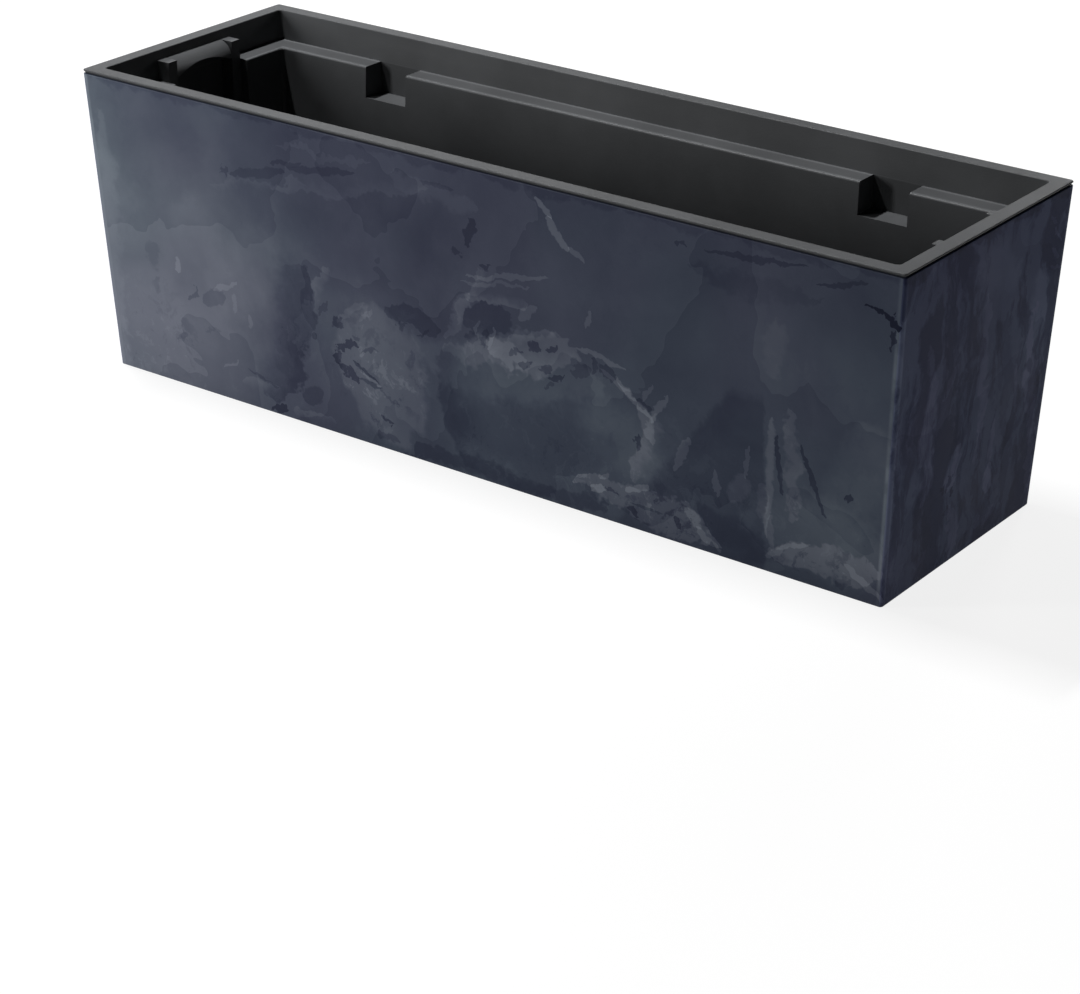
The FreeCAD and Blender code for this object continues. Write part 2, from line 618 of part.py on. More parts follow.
def grooves(body, at, low):
    """The underside: a disc, a groove crossed by two bridges, a ring and a second groove."""
    below = f"({low} - {of('overrun')})"
    roof = f"({low} + {of('groove_depth')})"
    inner_groove = f"({of('coin_radius')} + {of('coin_groove')})"
    ring = f"({inner_groove} + {of('coin_ring')})"
    outer_groove = f"({ring} + {of('coin_groove')})"
    cylinder(body, "Subtractive", "outer_groove", at, (below, roof), outer_groove)
    cylinder(body, "Additive", "ring", at, (low, roof), ring)
    cylinder(body, "Subtractive", "inner_groove", at, (below, roof), inner_groove)
    cylinder(body, "Additive", "disc", at, (low, roof), of("coin_radius"))
    half_bridge = f"{of('coin_bridge')} / 2"
    along = (f"({at[0]} - {half_bridge})", f"({at[0]} + {half_bridge})")
    across = (f"({at[1]} - {inner_groove})", f"({at[1]} + {inner_groove})")
    box(body, "Additive", "bridges", along, across, (low, roof))


pieces = [make_outer_case(), make_liner(), make_overflow_plug()]
doc.recompute()

for item in doc.Objects:
    if "Invalid" in item.State or "Error" in item.State:
        raise ValueError(f"{item.Name} failed: {item.State}")
for piece in pieces:
    if piece.Shape.isNull() or not piece.Shape.isValid():
        raise ValueError(f"{piece.Label} has no valid shape")
    if len(piece.Shape.Solids) != 1:
        raise ValueError(f"{piece.Label} has {len(piece.Shape.Solids)} solids")
    print(f"{piece.Label}: {piece.Shape.Volume:.0f} cubic mm, {len(piece.Shape.Faces)} faces")
    piece.Shape.exportStep(f"parts/{piece.Label}.step")
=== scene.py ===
# %% [markdown]
# # A long marbled planter
#
# The planter is three mouldings: a marbled outer case, a plain liner that hangs in it by its
# flat rim, and a small plug in the case's floor. Their shapes come ready from the frame, so
# this lesson is about the rest: the camera, the floor and the light, and above all the
# finishes, which are made only of procedural nodes.

# %% Load the frame
import math

import bmesh
import bpy
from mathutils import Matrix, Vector


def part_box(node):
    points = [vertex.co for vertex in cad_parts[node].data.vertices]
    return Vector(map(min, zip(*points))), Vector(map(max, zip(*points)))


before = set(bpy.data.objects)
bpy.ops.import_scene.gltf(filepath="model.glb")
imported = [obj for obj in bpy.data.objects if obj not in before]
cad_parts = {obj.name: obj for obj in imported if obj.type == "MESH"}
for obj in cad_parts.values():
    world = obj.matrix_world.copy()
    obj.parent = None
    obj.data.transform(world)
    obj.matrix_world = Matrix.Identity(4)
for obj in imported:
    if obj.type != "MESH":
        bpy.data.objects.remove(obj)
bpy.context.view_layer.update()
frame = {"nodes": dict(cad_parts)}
nodes = frame["nodes"]
print("pieces in the frame:", sorted(nodes))

# %% [markdown]
# ## Sizes that the frame gives
#
# Everything below is placed from the boxes of the case and the liner. The case narrows towards
# the ground by the same inset on every side, and its walls are flat, so its box and the inset
# say where each wall lies. The finish of the liner also needs the place of its ledge.

# %% Read the sizes
_, case_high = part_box("outer_case")
_, liner_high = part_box("liner")
HALF_LENGTH = case_high.x
HALF_WIDTH = case_high.y
CASE_TOP = case_high.z
RIM_TOP = liner_high.z
SIDE_INSET = 0.0085  # how far the foot of each wall is drawn in
LEDGE_TOP = 0.1763
LEDGE_OUTER = 0.0122  # where the ledge's two rubbed edges lie, inwards from the case's outside
LEDGE_INNER = 0.0248
print(f"case {2 * HALF_LENGTH:.3f} x {2 * HALF_WIDTH:.3f} m, rim at {RIM_TOP:.3f} m")

# %% [markdown]
# ## Camera
#
# A camera is fixed by where it looks, from which side, how far away it stands and how long its
# lens is. These values were solved from the seven outline corners that the picture shows, with
# the printed sizes of the planter, and with no lens shift, so that the other views stay centred.

# %% Place the camera
AZIMUTH, ELEVATION = math.radians(36.99), math.radians(25.34)
DISTANCE = 1.805
AIM = Vector((-0.0082, 0, -0.0476))
LENS = 97.83

back = Vector((
    math.sin(AZIMUTH) * math.cos(ELEVATION),
    -math.cos(AZIMUTH) * math.cos(ELEVATION),
    math.sin(ELEVATION),
))
camera_data = bpy.data.cameras.new("camera")
camera_data.lens = LENS
camera_data.sensor_width = 36
camera_data.clip_start = 0.05
camera_data.clip_end = 50
camera = bpy.data.objects.new("camera", camera_data)
camera.location = AIM + DISTANCE * back
camera.rotation_mode = "QUATERNION"
camera.rotation_quaternion = back.to_track_quat("Z", "Y")
bpy.context.scene.collection.objects.link(camera)
bpy.context.scene.camera = camera
bpy.context.scene.view_settings.view_transform = "Standard"
print("camera at", [round(x, 3) for x in camera.location])

# %% [markdown]
# ## Shader maths as sums
#
# A procedural finish is a sum of patterns. Written node by node it is hard to read, so a small
# class wraps a socket and turns Python's operators into Math nodes. `Finish` holds one material
# and makes every other node through one method: first the node's own settings, then the values
# or links of its sockets.

# %% Wrap sockets and node trees
class Term:
    """A socket that can stand in a sum: each operator on it adds a Math node."""

    def __init__(self, nodes, socket):
        self.nodes = nodes
        self.socket = socket

    def __add__(self, other):
        return self.nodes.math("ADD", self, other)

    def __sub__(self, other):
        return self.nodes.math("SUBTRACT", self, other)

    def __mul__(self, other):
        return self.nodes.math("MULTIPLY", self, other)

    def __truediv__(self, other):
        return self.nodes.math("DIVIDE", self, other)

    def __rsub__(self, other):
        return self.nodes.math("SUBTRACT", other, self)

    __radd__ = __add__
    __rmul__ = __mul__


class Nodes:
    """A node tree and the ways to add to it."""

    def __init__(self, tree):
        self.tree = tree

    def node(self, kind, settings=None, inputs=None, output=0):
        """Make a node, set it up, fill its sockets, and return one of its outputs as a term."""
        made = self.tree.nodes.new("ShaderNode" + kind)
        for key, value in (settings or {}).items():
            if key == "stops":
                self.set_stops(made, value)
            else:
                setattr(made, key, value)
        for key, value in (inputs or {}).items():
            self.fill(self.find(made.inputs, key), value)
        return Term(self, self.find(made.outputs, output))

    def set_stops(self, ramp, stops):
        elements = ramp.color_ramp.elements
        while len(elements) < len(stops):
            elements.new(1)
        for element, (position, colour) in zip(elements, stops):
            element.position = position
            element.color = colour

    def find(self, sockets, key):
        if isinstance(key, int):
            return sockets[key]
        return next(s for s in sockets if key in (s.identifier, s.name))

    def fill(self, socket, value):
        if isinstance(value, Term):
            self.tree.links.new(value.socket, socket)
        else:
            socket.default_value = value

    def math(self, operation, *values):
        return self.node("Math", {"operation": operation}, dict(enumerate(values)))

    def vector(self, operation, *values, output=0):
        return self.node("VectorMath", {"operation": operation}, dict(enumerate(values)), output)

    def parts(self, value):
        """The X, Y and Z of a vector."""
        split = self.node("SeparateXYZ", None, {0: value}).socket.node
        return [Term(self, socket) for socket in split.outputs]


class Finish(Nodes):
    """One material, with its own shader."""

    def __init__(self, name):
        self.material = bpy.data.materials.new(name)
        self.material.use_nodes = True
        super().__init__(self.material.node_tree)
        self.shader = self.tree.nodes["Principled BSDF"]
        self.output = self.tree.nodes["Material Output"]
        self.place = self.node("TexCoord", output="Object")

    def set(self, **values):
        """Set or link sockets of the material's own shader."""
        for key, value in values.items():
            self.fill(self.find(self.shader.inputs, key.replace("_", " ")), value)


print("shader maths ready")

# %% [markdown]
# Four patterns come back all the time: noise, a soft step between two values, a mix of two
# colours, and a place that is pushed about by noise, which turns straight edges into flowing
# ones. Each is a short function, so a finish reads like a recipe.

# %% Make the shared patterns
def noise(finish, place, scale, detail=3, roughness=0.5, distortion=0, output="Fac"):
    inputs = {"Vector": place, "Scale": scale, "Detail": detail, "Roughness": roughness}
    inputs["Distortion"] = distortion
    return finish.node("TexNoise", None, inputs, output)


def step(finish, value, low, high, start=0, end=1):
    """A smooth step from start to end, while value goes from low to high."""
    inputs = {"Value": value, "From Min": low, "From Max": high, "To Min": start, "To Max": end}
    return finish.node("MapRange", {"interpolation_type": "SMOOTHSTEP"}, inputs, "Result")


def mixed(finish, first, second, share):
    """The first colour where share is 0, the second where it is 1."""
    inputs = {"Factor_Float": share, "A_Color": first, "B_Color": second}
    return finish.node("Mix", {"data_type": "RGBA"}, inputs, "Result_Color")


def stretched(finish, place, x=1, y=1, z=1):
    return finish.vector("MULTIPLY", place, (x, y, z))


def pushed(finish, place, scale, reach, detail=2):
    """A place moved by up to about half of reach, with a noise of that scale."""
    cloud = noise(finish, place, scale, detail, output="Color")
    centred = finish.vector("SUBTRACT", cloud, (0.5, 0.5, 0.5))
    return finish.vector("ADD", place, finish.vector("MULTIPLY", centred, (reach, reach, reach)))


print("patterns ready")

# %% [markdown]
# ## The marbled case
#
# The case is moulded from two plastics that have not mixed: slate blue and a lighter grey. The
# flow leaves wide soft clouds, torn patches with one sharp and one soft side, thin light
# filaments and small dark cells. Noise alone gives clouds, but never a stroke in the right
# place, so the strokes are laid out one by one as ovals, each in millimetres and degrees, on a
# map of the walls that noise has torn a little.

# %% Unroll the walls
MM = 0.001


def drawn_in(z):
    """How far in the walls have come at that height."""
    return (1 - z / CASE_TOP) * SIDE_INSET


def unrolled(finish):
    """A map of the walls: X is how far along, from the middle of the front and on round the
    right corner, and Z is the height. The back and left walls get the same, half a turn on."""
    x, y, z = finish.parts(finish.place)
    inset = drawn_in(z)
    half_length, half_width = HALF_LENGTH - inset, HALF_WIDTH - inset
    side = finish.math("SIGN", x * half_width - y * half_length)
    along = (x + y) * side + half_width
    return finish.node("CombineXYZ", None, {0: along, 2: z})


def torn(finish, walls, tears):
    """The map of the walls, pushed about by several noises, each (scale, reach in mm)."""
    for scale, reach in tears:
        cloud = noise(finish, finish.place, scale, 1, output="Color")
        centred = finish.vector("SUBTRACT", cloud, (0.5, 0.5, 0.5))
        push = finish.vector("MULTIPLY", centred, (reach * MM, 0, reach * MM))
        walls = finish.vector("ADD", walls, push)
    return walls


print("walls unrolled")

# %% [markdown]
# An oval has two foci, and its edge is where the distances to the two add up to its length. That
# takes five small nodes, and works for any lean without turning anything. The five are made once,
# as a group, so each smear is a single group node that adds its strength to a running total. A
# second group also lets the smear die away from one long side to the other.

# %% Make one smear as a group
def smear_group(name, faded):
    tree = bpy.data.node_groups.new(name, "ShaderNodeTree")
    sockets = {"Total": "Float", "Walls": "Vector", "First": "Vector", "Second": "Vector"}
    sockets.update({"Edge": "Float", "Core": "Float", "Strength": "Float"})
    if faded:
        sockets.update({"Across": "Vector", "Low": "Float", "High": "Float"})
    for key, kind in sockets.items():
        tree.interface.new_socket(key, in_out="INPUT", socket_type="NodeSocket" + kind)
    tree.interface.new_socket("Total", in_out="OUTPUT", socket_type="NodeSocketFloat")
    nodes = Nodes(tree)
    entry = tree.nodes.new("NodeGroupInput")
    given = {key: Term(nodes, entry.outputs[key]) for key in sockets}
    first = nodes.vector("DISTANCE", given["Walls"], given["First"], output="Value")
    second = nodes.vector("DISTANCE", given["Walls"], given["Second"], output="Value")
    patch = step(nodes, first + second, given["Edge"], given["Core"], 0, given["Strength"])
    if faded:
        across = nodes.vector("DOT_PRODUCT", given["Walls"], given["Across"], output="Value")
        patch = patch * step(nodes, across, given["Low"], given["High"])
    result = patch + given["Total"]
    leave = tree.nodes.new("NodeGroupOutput")
    tree.links.new(result.socket, leave.inputs["Total"])
    return tree


SMEAR = smear_group("smear", False)
FADED_SMEAR = smear_group("faded smear", True)
print("smear groups:", len(SMEAR.nodes), "and", len(FADED_SMEAR.nodes), "nodes")


# %% Add one smear to a total
def smear(finish, total, walls, along, height, length, width, lean, soft, fade, strength):
    """An oval smear, in millimetres and degrees. It has its strength inside and an edge that is
    soft of its half width. With a fade of 1 or -1 it is full at its upper or lower long side."""
    middle = Vector((along, 0, height)) * MM
    lean = math.radians(lean)
    across = Vector((-math.sin(lean), 0, math.cos(lean))) / (width / 2 * MM)
    if width > length:
        length, width, lean = width, length, lean + math.pi / 2
    focus = math.sqrt(length ** 2 - width ** 2) / 2 * MM
    reach = Vector((math.cos(lean), 0, math.sin(lean))) * focus
    core = (length * MM - 2 * focus) * (2 * soft - soft ** 2)
    inputs = {
        "Total": total,
        "Walls": walls,
        "First": middle + reach,
        "Second": middle - reach,
        "Edge": length * MM,
        "Core": length * MM - core,
        "Strength": strength,
    }
    if fade:
        level = across.dot(middle)
        inputs.update({"Across": across, "Low": level - fade, "High": level + fade})
    tree = FADED_SMEAR if fade else SMEAR
    return finish.node("Group", {"node_tree": tree}, inputs)


def smears(finish, total, walls, rows):
    for row in rows:
        total = smear(finish, total, walls, *row)
    return total


print("smears ready")

# %% Lay out the wide clouds, the first of them partly painted light
CLOUDS = [
    # along, height, length, width, lean, soft, fade, strength
    # The first cloud lightens the left half of the front, and the same place on the back: partly
    # the plastic's own lighter tone, partly painted light, the fall-off of the light from the
    # left.
    (-310, 60, 470, 420, 0, 0.95, 0, 0.32),
    (-280, 70, 26, 200, 0, 0.9, 0, 0.07),
    (-235, 150, 100, 70, 20, 0.9, 0, -0.06),
    (-168, 88, 90, 70, 50, 0.7, 0, 0.06),
    (-70, 130, 170, 80, 12, 0.8, 0, -0.05),
    (50, 40, 130, 56, 8, 0.8, 0, -0.08),
    (30, 76, 140, 42, 4, 0.6, 0, 0.10),
    (112, 52, 60, 74, 60, 0.8, 0, 0.11),
    (70, 150, 180, 70, 5, 0.9, 0, 0.03),
    (200, 135, 190, 60, 0, 0.9, 0, 0.03),
    (200, 167, 80, 18, 5, 0.9, 0, -0.06),
    (265, 66, 90, 50, 80, 0.8, 0, 0.09),
    (244, 28, 110, 60, 0, 0.8, 0, 0.14),
    (190, 18, 70, 24, -10, 0.8, 0, -0.10),
    (30, 5, 150, 14, 0, 0.8, 0, -0.14),
    (385, 165, 70, 36, -20, 0.9, 0, 0.12),
    (318, 35, 60, 36, 90, 0.8, 0, -0.08),
    (385, 90, 190, 190, 0, 0.9, 0, -0.05),
    (440, 118, 70, 44, 90, 0.8, 0, 0.16),
    (-76, 78, 170, 110, 80, 0.9, 0, 0.06),
]
print(len(CLOUDS), "clouds")

# %% Lay out the torn patches
PATCHES = [
    # along, height, length, width, lean, soft, fade, strength
    (-62, 46, 92, 74, 98, 0.22, 0, 0.14),
    (2, 44, 84, 50, 100, 0.20, 1, -0.16),
    (-139, 58, 100, 46, 74, 0.14, -1, -0.22),
    (-110, 92, 42, 11, 75, 0.30, 1, 0.16),
    (-121, 62, 40, 10, 85, 0.40, 0, 0.08),
    (-38, 90, 38, 15, 8, 0.20, 0, -0.14),
    (-150, 150, 80, 7, 12, 0.50, 1, 0.08),
    (-80, 163, 130, 12, 10, 0.50, -1, 0.10),
    (-100, 179, 80, 6, 5, 0.50, 0, 0.07),
    (-15, 174, 70, 18, -5, 0.60, 0, 0.08),
    (20, 102, 44, 25, 10, 0.14, 0, -0.10),
    (25, 119, 52, 12, 8, 0.25, -1, 0.20),
    (6, 116, 44, 10, 55, 0.30, 1, 0.12),
    (-5, 102, 38, 11, 65, 0.40, 0, 0.12),
    (50, 90, 62, 26, 10, 0.22, 0, 0.15),
    (18, 82, 64, 18, 5, 0.35, 0, 0.12),
    (128, 14, 100, 22, -5, 0.20, 0, 0.19),
    (246, 17, 76, 24, 5, 0.22, 0, 0.18),
    (128, 52, 48, 13, 75, 0.35, 1, 0.18),
    (221, 68, 66, 13, 97, 0.50, 0, 0.12),
    (212, 135, 40, 18, 90, 0.80, 0, 0.06),
    (322, 95, 96, 17, 88, 0.45, 0, 0.15),
    (338, 102, 36, 11, 68, 0.45, 0, 0.10),
    (380, 105, 100, 15, 88, 0.50, 0, 0.13),
    (434, 108, 46, 13, 92, 0.40, 0, 0.15),
    (440, 50, 116, 11, 92, 0.40, 0, 0.14),
    (409, 75, 120, 18, 92, 0.50, 0, -0.12),
    (352, 88, 66, 13, 80, 0.50, 0, -0.11),
    (350, 58, 32, 19, 60, 0.25, 0, 0.16),
    (352, 20, 30, 11, 100, 0.30, 0, 0.15),
]
print(len(PATCHES), "patches")

# %% Lay out the strokes of the front's left half
LEFT_STROKES = [
    # along, height, length, width, lean, soft, fade, strength
    (-194, 66, 22, 14, 25, 0.20, 0, -0.11),
    (-184, 76, 22, 4, 25, 0.40, 0, 0.11),
    (-178, 67, 4, 14, 0, 0.40, 0, 0.08),
    (-223, 82, 12, 6, 85, 0.30, 0, 0.14),
    (-211, 65, 10, 4, 50, 0.30, 0, -0.14),
    (-166, 57, 10, 4, 85, 0.40, 0, 0.09),
    (-243, 83, 14, 18, 0, 0.40, 0, -0.06),
    (-243, 64, 8, 16, 0, 0.50, 0, -0.06),
    (-150, 157, 44, 7, 12, 0.40, 0, -0.11),
    (-128, 167, 28, 4, 14, 0.40, 0, -0.11),
    (-100, 169, 54, 6, 8, 0.40, 0, -0.12),
    (-177, 153, 8, 5, 20, 0.30, 0, -0.13),
    (-14, 178, 24, 4, -3, 0.40, 0, -0.09),
    (-89, 61, 17, 6, 25, 0.25, 0, -0.32),
    (-96, 52, 10, 7, 80, 0.25, 0, -0.32),
    (-88, 43, 18, 6, -40, 0.25, 0, -0.30),
    (-74, 47, 22, 3.5, -26, 0.30, 0, -0.26),
    (-71, 40, 20, 3, -8, 0.30, 0, -0.20),
    (-71, 43, 18, 3, -20, 0.30, 0, 0.14),
    (-95, 75, 9, 10, 0, 0.25, 0, -0.24),
    (-71, 62, 14, 3, 15, 0.40, 0, -0.18),
    (-81, 68, 7, 3, 12, 0.40, 0, -0.16),
    (-60, 20, 10, 3, -45, 0.30, 0, -0.24),
    (-56, 35, 14, 2.5, -25, 0.40, 0, -0.12),
    (-84, 84, 30, 5, 38, 0.30, 0, 0.10),
    (-72, 84, 14, 4, 42, 0.30, 0, 0.08),
    (-106, 80, 12, 5, 60, 0.30, 0, -0.12),
    (-114, 61, 5, 4, 0, 0.30, 0, -0.16),
    (-28, 84, 12, 3, 20, 0.30, 0, -0.14),
    (-44, 84, 10, 4, 30, 0.30, 0, -0.12),
    (-118, 20, 20, 14, 30, 0.25, 0, -0.13),
    (-146, 5, 16, 6, 10, 0.30, 0, -0.32),
    (-160, 16, 32, 9, 8, 0.30, 1, 0.13),
    (-158, 21, 26, 3, -12, 0.30, 0, -0.12),
    (-184, 24, 16, 3, 28, 0.40, 0, 0.12),
    (-225, 33, 10, 6, 30, 0.40, 0, -0.07),
    (-198, 44, 16, 3, 10, 0.40, 0, -0.06),
    (-118, 6, 34, 8, 0, 0.30, 1, 0.13),
    (-60, 8, 18, 6, 0, 0.30, 0, -0.13),
    (10, 155, 19, 8, 68, 0.35, 0, -0.22),
    (-1, 140, 7, 5, 0, 0.40, 0, -0.15),
    (20, 137, 8, 4, 10, 0.40, 0, -0.17),
]
print(len(LEFT_STROKES), "strokes on the left half")

# %% Lay out the strokes of the front's right half
RIGHT_STROKES = [
    # along, height, length, width, lean, soft, fade, strength
    (62, 180, 16, 5, -50, 0.35, 0, 0.28),
    (71, 167, 22, 7, -48, 0.35, 0, 0.26),
    (83, 158, 14, 4, -35, 0.40, 0, 0.18),
    (90, 121, 12, 4, 80, 0.40, 0, 0.16),
    (34, 133, 62, 4, 12, 0.40, 0, 0.16),
    (26, 127, 50, 3, 10, 0.40, 0, 0.12),
    (48, 115, 18, 8, 42, 0.30, 0, 0.15),
    (8, 90, 10, 9, 0, 0.30, 0, -0.14),
    (17, 92, 13, 4, 80, 0.30, 0, -0.14),
    (12, 98, 10, 3, 80, 0.30, 0, 0.16),
    (22, 93, 15, 4, 75, 0.30, 0, 0.20),
    (52, 101, 40, 8, 18, 0.30, 1, 0.16),
    (52, 96, 9, 8, 0, 0.20, 0, -0.26),
    (64, 97, 10, 5, 25, 0.25, 0, -0.27),
    (45, 83, 11, 6, 20, 0.25, 0, -0.25),
    (60, 84, 9, 5, 30, 0.30, 0, -0.22),
    (68, 80, 11, 6, 20, 0.30, 0, -0.23),
    (39, 90, 9, 4, 20, 0.30, 0, -0.22),
    (62, 73, 9, 4, 30, 0.30, 0, -0.14),
    (84, 90, 14, 10, 15, 0.20, 0, -0.12),
    (94, 94, 6, 9, 0, 0.25, 0, -0.15),
    (103, 93, 13, 10, -20, 0.22, 0, -0.16),
    (99, 100, 36, 4, -10, 0.35, 0, 0.20),
    (110, 87, 30, 4, -28, 0.40, 0, 0.15),
    (121, 80, 34, 5, -42, 0.35, 0, 0.20),
    (129, 68, 26, 10, -68, 0.30, 0, 0.17),
    (137, 79, 24, 5, 62, 0.35, 0, 0.18),
    (130, 87, 14, 3, 60, 0.30, 0, 0.14),
    (128, 78, 10, 6, -30, 0.30, 0, -0.16),
    (123, 54, 10, 5, 85, 0.30, 0, -0.24),
    (152, 56, 26, 7, 68, 0.30, 0, 0.17),
    (195, 63, 20, 4, 88, 0.30, 0, 0.15),
    (176, 44, 17, 5, 95, 0.35, 0, 0.17),
    (190, 45, 22, 14, 60, 0.50, 0, 0.13),
    (205, 42, 22, 10, 90, 0.50, 0, 0.10),
    (210, 58, 74, 6.5, 87, 0.90, 0, 0.18),
    (211, 25, 22, 6, 90, 0.50, 0, 0.12),
    (216, 66, 36, 4, 97, 0.40, 0, -0.22),
    (237, 64, 44, 4, -68, 0.40, 0, -0.24),
    (95, 18, 11, 7, 20, 0.30, 0, 0.28),
    (122, 27, 18, 5, 20, 0.30, 0, 0.22),
    (100, 28, 9, 4, 20, 0.30, 0, 0.18),
    (103, 20, 11, 3, -10, 0.30, 0, -0.22),
    (128, 16, 22, 3, 0, 0.30, 0, -0.16),
    (119, 11, 11, 4, -30, 0.30, 0, -0.27),
    (149, 13, 9, 5, -30, 0.30, 0, -0.27),
    (160, 18, 14, 8, -45, 0.30, 0, 0.18),
    (170, 8, 22, 5, -35, 0.30, 0, 0.17),
    (225, 21, 24, 4, 20, 0.30, 0, 0.16),
    (213, 13, 15, 6, 40, 0.30, 0, 0.15),
    (270, 12, 32, 6, -32, 0.30, 0, 0.20),
    (256, 9, 12, 8, 30, 0.30, 0, -0.13),
    (260, 60, 6, 5, 0, 0.30, 0, -0.30),
    (200, 183, 66, 4, 4, 0.40, 0, -0.17),
    (252, 181, 32, 4, 15, 0.40, 0, -0.17),
    (153, 180, 7, 3, 0, 0.40, 0, -0.14),
    (275, 172, 15, 3, -12, 0.30, 0, -0.5),
    (284, 166, 13, 5, -50, 0.30, 0, -0.7),
    (283, 157, 12, 3, 90, 0.40, 0, -0.35),
]
print(len(RIGHT_STROKES), "strokes on the right half")

# %% Lay out the strokes of the right end
END_STROKES = [
    # along, height, length, width, lean, soft, fade, strength
    (343, 114, 24, 7, 50, 0.35, 0, 0.14),
    (321, 133, 16, 12, 90, 0.40, 0, 0.09),
    (418, 85, 32, 6, 95, 0.50, 0, 0.12),
    (446, 84, 16, 4, 85, 0.40, 0, -0.18),
    (336, 127, 42, 6, 95, 0.50, 0, -0.10),
    (398, 105, 34, 8, 100, 0.50, 0, -0.08),
    (392, 38, 20, 12, 88, 0.20, 0, 0.26),
    (393, 60, 28, 7, 85, 0.50, 0, 0.13),
    (348, 52, 9, 4, 60, 0.30, 0, -0.34),
    (351, 46, 8, 3, 70, 0.30, 0, -0.34),
    (342, 50, 6, 4, 0, 0.30, 0, -0.28),
    (347, 34, 9, 5, 20, 0.30, 0, -0.18),
    (383, 14, 11, 8, 60, 0.30, 0, 0.18),
    (396, 13, 15, 8, 20, 0.30, 0, 0.12),
    (320, 14, 16, 8, 30, 0.30, 0, 0.10),
    (455, 167, 15, 3, -50, 0.30, 0, 0.18),
    (453, 156, 15, 3, -35, 0.30, 0, 0.17),
    (456, 147, 13, 3, -30, 0.30, 0, 0.16),
    (449, 178, 11, 3, -40, 0.30, 0, 0.14),
]
STROKES = LEFT_STROKES + RIGHT_STROKES + END_STROKES
LENGTH, STRENGTH = 2, 7  # their places in a row
CELL_LENGTH = 20
CELLS = [row for row in STROKES if row[LENGTH] < CELL_LENGTH and row[STRENGTH] < 0]
LONG_STROKES = [row for row in STROKES if row not in CELLS]
print(len(STROKES), "strokes,", len(CELLS), "of them small dark cells")

# %% [markdown]
# One dark patch has straight sides, as if wiped with a scraper. It is made of three soft steps
# multiplied: right of a slanting line, left of an upright one, and below a dome.

# %% Define the wiped wedge
def wiped_wedge(finish, walls):
    along, _, height = finish.parts(walls)
    slant = math.radians(52.7)
    from_slant = (along - 127 * MM) * math.sin(slant) - (height - 32 * MM) * math.cos(slant)
    left_side = step(finish, from_slant, 0, 5 * MM)
    right_side = step(finish, along, 208 * MM, 205 * MM)
    top = step(finish, height, 108 * MM, 98 * MM)
    return left_side * right_side * top


# %% [markdown]
# The four upright corners and the top edge are lighter, in a line that noise breaks up: partly
# scuffed plastic, partly a painted highlight where the rounded edges would catch the light. The
# distance from the nearest corner is what is left of both half sizes. Just under the rim a ragged
# band is darker, most of all on the short walls: a painted shadow of the rim's overhang.

# %% Lighten the edges with scuffs and painted highlights, and paint the rim's shadow
def end_wall(finish):
    """1 on the two short walls and 0 elsewhere."""
    x, _, z = finish.parts(finish.place)
    from_end = HALF_LENGTH - drawn_in(z) - finish.math("ABSOLUTE", x)
    return step(finish, from_end, 2 * MM, 1 * MM)


def edges(finish):
    x, y, z = finish.parts(finish.place)
    inset = drawn_in(z)
    from_end = HALF_LENGTH - inset - finish.math("ABSOLUTE", x)
    from_side = HALF_WIDTH - inset - finish.math("ABSOLUTE", y)
    # Partly scuffing, partly a painted highlight: the rounded upright corners and the top edge are
    # made lighter.
    corner = step(finish, from_end + from_side, 4.4 * MM, 2.6 * MM)
    top = step(finish, z, CASE_TOP - 0.7 * MM, CASE_TOP - 0.2 * MM)
    rubbed_and_lit = step(finish, noise(finish, finish.place, 60, 3), 0.35, 0.6, 0.5, 1)
    # Painted shadow of the rim: a ragged darker band just under it, stronger on the short walls.
    under_rim = z + (noise(finish, finish.place, 45, 4, 0.65) - 0.5) * 0.024
    dark = step(finish, under_rim, CASE_TOP - 4.5 * MM, CASE_TOP - 1.5 * MM)
    dark = dark * step(finish, end_wall(finish), 0, 1, 0.09, 0.26)
    return finish.math("MAXIMUM", corner, top) * rubbed_and_lit * 0.28 - dark


# %% [markdown]
# Where the flow broke up, the two plastics lie in short ragged dabs. They come from one rough
# noise: its high parts are light dabs, and its low parts are dark ones. A wide noise says where
# they lie, and they are thickest near the foot of the walls.

# %% Scatter the ragged dabs
def dabs(finish, walls):
    height = finish.parts(walls)[2] + (noise(finish, finish.place, 14, 2) - 0.5) * 0.09
    bent = pushed(finish, finish.place, 40, 0.04, 4)
    rough = noise(finish, stretched(finish, bent, 1, 1, 0.8), 60, 6, 0.7)
    light = step(finish, rough, 0.54, 0.62)
    dark = step(finish, rough, 0.46, 0.38)
    low = step(finish, height, 0.1, 0.02, 0.25, 1)
    broken = step(finish, noise(finish, finish.place, 17, 3, 0.6), 0.42, 0.6, 0.15, 1)
    return (light - dark) * low * broken * 0.1


# %% [markdown]
# On the two short walls the flow ran upwards, so there the plastics lie in narrow streaks. They
# are a noise stretched to five times its height, kept to the ends by the distance from them.

# %% Draw the streaks of the ends
def streaks(finish):
    bent = pushed(finish, finish.place, 18, 0.05, 5)
    narrow = noise(finish, stretched(finish, bent, 1, 1, 0.2), 40, 5, 0.62)
    return step(finish, narrow, 0.44, 0.57, -0.13, 0.2) * end_wall(finish)


# %% [markdown]
# Under the strokes lies what every wall shares: clouds, veils and sharp-edged bands. A band is
# the fraction of a noise times seven, which climbs slowly and drops at once, and so looks like
# one sheet of plastic folded over another.

# %% Make the marbled finish
def upright(finish):
    """1 on the walls and 0 on the floor of the case, which has no place on the map."""
    facing = finish.parts(finish.node("TexCoord", output="Normal"))[2]
    return step(finish, finish.math("ABSOLUTE", facing), 0.8, 0.4)


marbled = Finish("marbled_case")
walls = unrolled(marbled)
flow = pushed(marbled, marbled.place, 7, 0.09)
wide = torn(marbled, walls, [(24, 24), (80, 13), (260, 7)])
fine = torn(marbled, walls, [(60, 6), (190, 4), (480, 2)])
rough = torn(marbled, walls, [(60, 6), (150, 8), (400, 5)])

